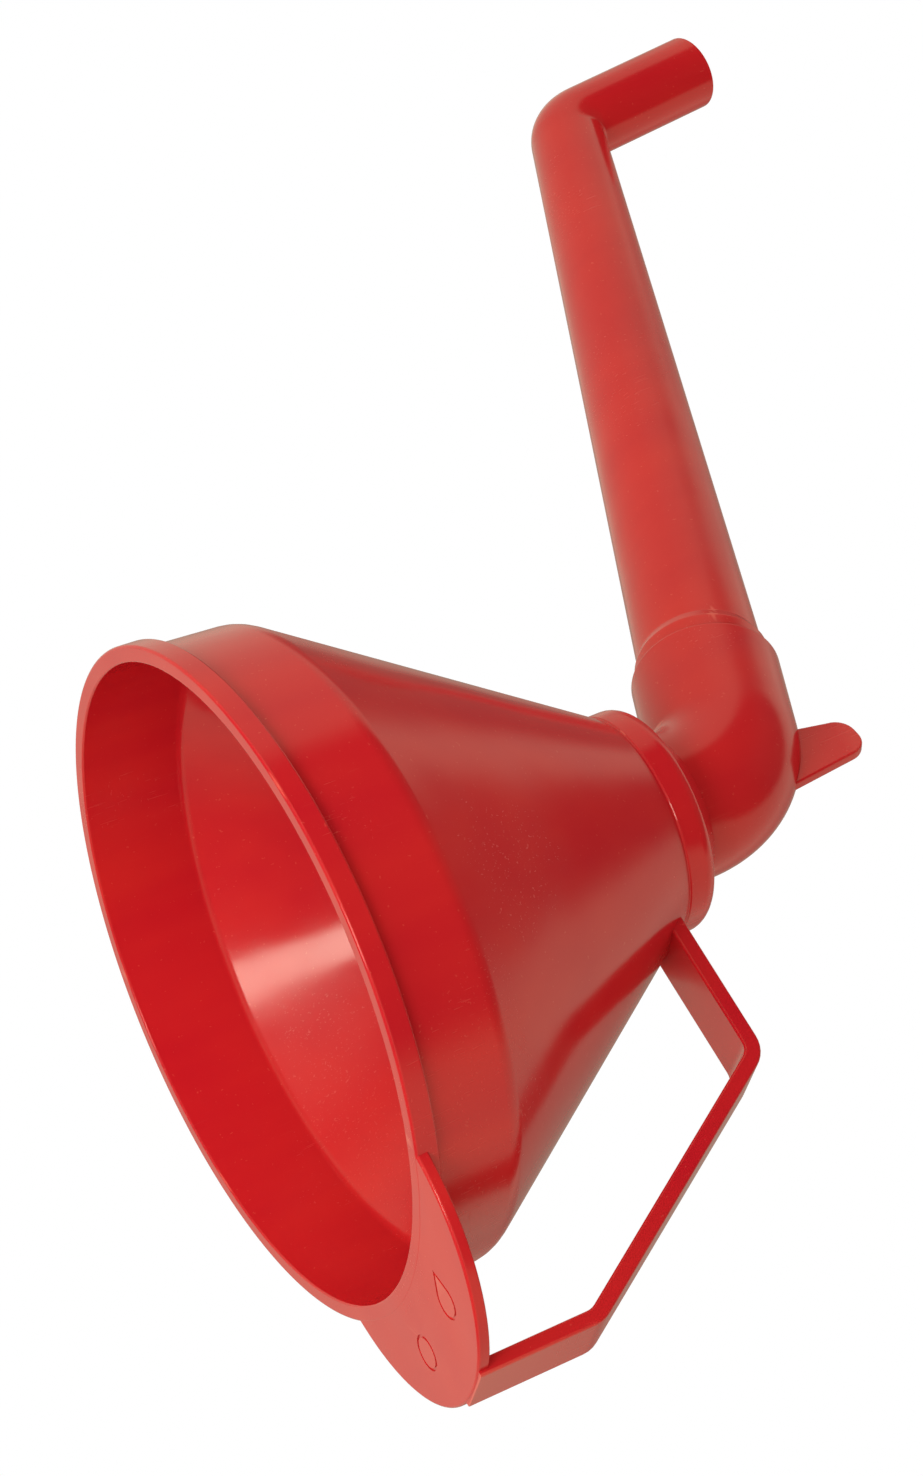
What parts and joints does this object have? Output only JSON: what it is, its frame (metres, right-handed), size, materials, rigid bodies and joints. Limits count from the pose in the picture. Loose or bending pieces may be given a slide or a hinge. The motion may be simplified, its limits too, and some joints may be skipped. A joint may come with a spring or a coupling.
{
  "type": "fuel funnel",
  "caption": "Plastic pouring funnel with a wide round mouth, strap handle and tab, a snap-in elbow and a long tapered spout with an angled tip, both swivelling, and a lift-out strainer.",
  "frame": {"origin": "centre of the mouth, in the plane of the rim that the funnel stands on", "axes": "+Z along the bowl's axis from the mouth to the neck, +X towards the strap handle and the tab"},
  "size_m": [0.3534, 0.1601, 0.2776],
  "materials": {
    "funnel_bowl": "glossy moulded polyethylene",
    "spout_elbow": "glossy moulded polyethylene",
    "spout_tube": "glossy moulded polyethylene",
    "strainer_ring": "satin black moulding",
    "strainer_gauze": "woven wire gauze"
  },
  "bodies": {
    "bowl": {"funnel_bowl": "funnel_bowl"},
    "elbow": {"spout_elbow": "spout_elbow"},
    "tube": {"spout_tube": "spout_tube"},
    "strainer": {"strainer_ring": "strainer_ring", "strainer_gauze": "strainer_gauze"}
  },
  "joints": [
    {"name": "elbow_swivel", "type": "hinge", "parent": "bowl", "child": "elbow", "pos_m": [0, 0, 0.11], "axis": [0, 0, 1], "continuous": true},
    {"name": "tube_swivel", "type": "hinge", "parent": "elbow", "child": "tube", "pos_m": [0, 0, 0.13033], "axis": [-0.8833, 0.2616, 0.3891], "continuous": true},
    {"name": "strainer_lift", "type": "slide", "parent": "bowl", "child": "strainer", "axis": [0, 0, -1], "range_m": [0, 0.1]}
  ]
}
